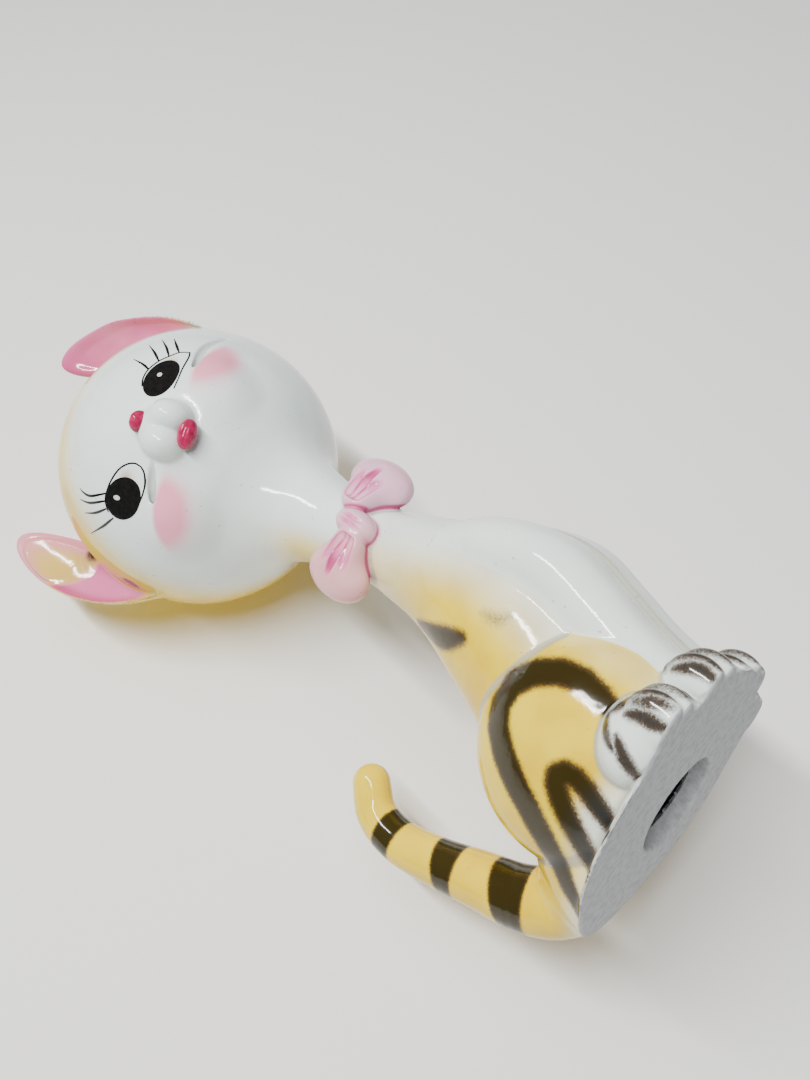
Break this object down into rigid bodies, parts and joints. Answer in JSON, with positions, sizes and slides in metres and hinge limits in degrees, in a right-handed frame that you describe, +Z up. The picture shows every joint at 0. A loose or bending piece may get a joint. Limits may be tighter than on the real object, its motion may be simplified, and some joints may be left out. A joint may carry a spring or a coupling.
{
  "type": "seated kitten figurine",
  "caption": "Slip-cast glazed ceramic kitten, seated upright on a flat unglazed foot, with a long neck, a big round head turned sideways, a pink bow and a curled-up striped tail.",
  "frame": {"origin": "on the ground plane, under the middle of the figure's bounding box", "axes": "+Z up, +X the way the chest and forepaws point, -Y the way the face looks, tail towards -X"},
  "size_m": [0.0784, 0.069, 0.1827],
  "materials": {
    "cream_glaze": "gloss, airbrushed yellow with dark brown stripes; bare grey-white bisque on the foot",
    "white_glaze": "gloss, bluish white with airbrushed cream and rose",
    "pink_glaze": "gloss, pink deepening in the folds",
    "red_enamel": "gloss, rose red",
    "black_enamel": "gloss black overglaze, painted irises, eye lines and lashes"
  },
  "bodies": {
    "root": {"torso_shell": "cream_glaze", "tail": "cream_glaze", "head_shell": "white_glaze", "muzzle": "white_glaze", "nose_tip": "red_enamel", "mouth": "red_enamel", "bow_knot": "pink_glaze", "left_haunch": "cream_glaze", "left_hind_paw": "cream_glaze", "left_foreleg": "white_glaze", "left_forepaw": "white_glaze", "left_ear": "pink_glaze", "bow_left_loop": "pink_glaze", "right_haunch": "cream_glaze", "right_hind_paw": "cream_glaze", "right_foreleg": "white_glaze", "right_forepaw": "white_glaze", "right_ear": "pink_glaze", "bow_right_loop": "pink_glaze", "left_iris": "black_enamel", "right_iris": "black_enamel"}
  },
  "joints": []
}
